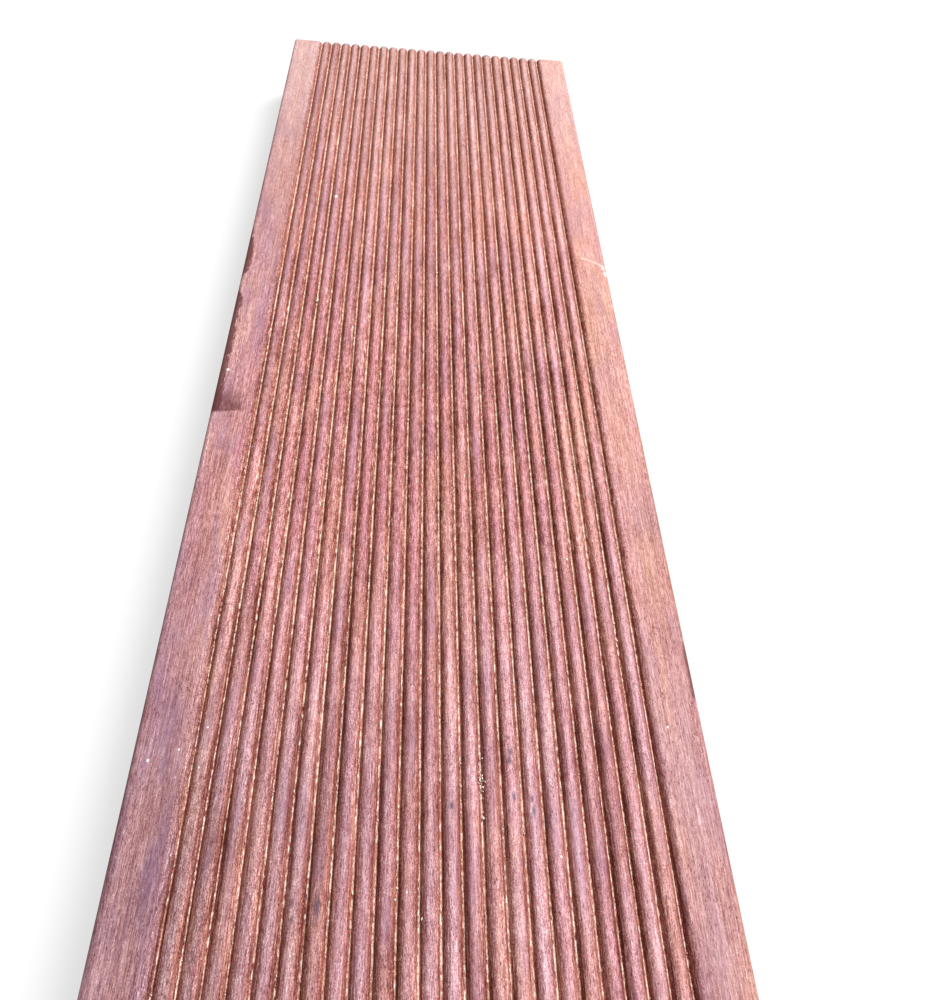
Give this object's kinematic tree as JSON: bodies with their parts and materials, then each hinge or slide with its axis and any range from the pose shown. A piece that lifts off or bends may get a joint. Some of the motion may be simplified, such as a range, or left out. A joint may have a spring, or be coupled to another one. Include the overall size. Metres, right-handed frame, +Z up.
{
  "type": "decking board",
  "caption": "Hardwood decking board with a reeded walking face, a plain strip along each edge, eased long arrises and square-sawn ends.",
  "frame": {"origin": "middle of the underside, on the centre of the board's bounding box at its base", "axes": "+Y along the length of the board, +X across its width, +Z up out of the reeded walking face; the board lies flat"},
  "size_m": [0.145, 1.83, 0.025],
  "materials": {
    "timber": "planed and moulded reddish-brown tropical hardwood, unfinished, matt to slightly satin"
  },
  "bodies": {
    "root": {"decking_board": "timber"}
  },
  "joints": []
}
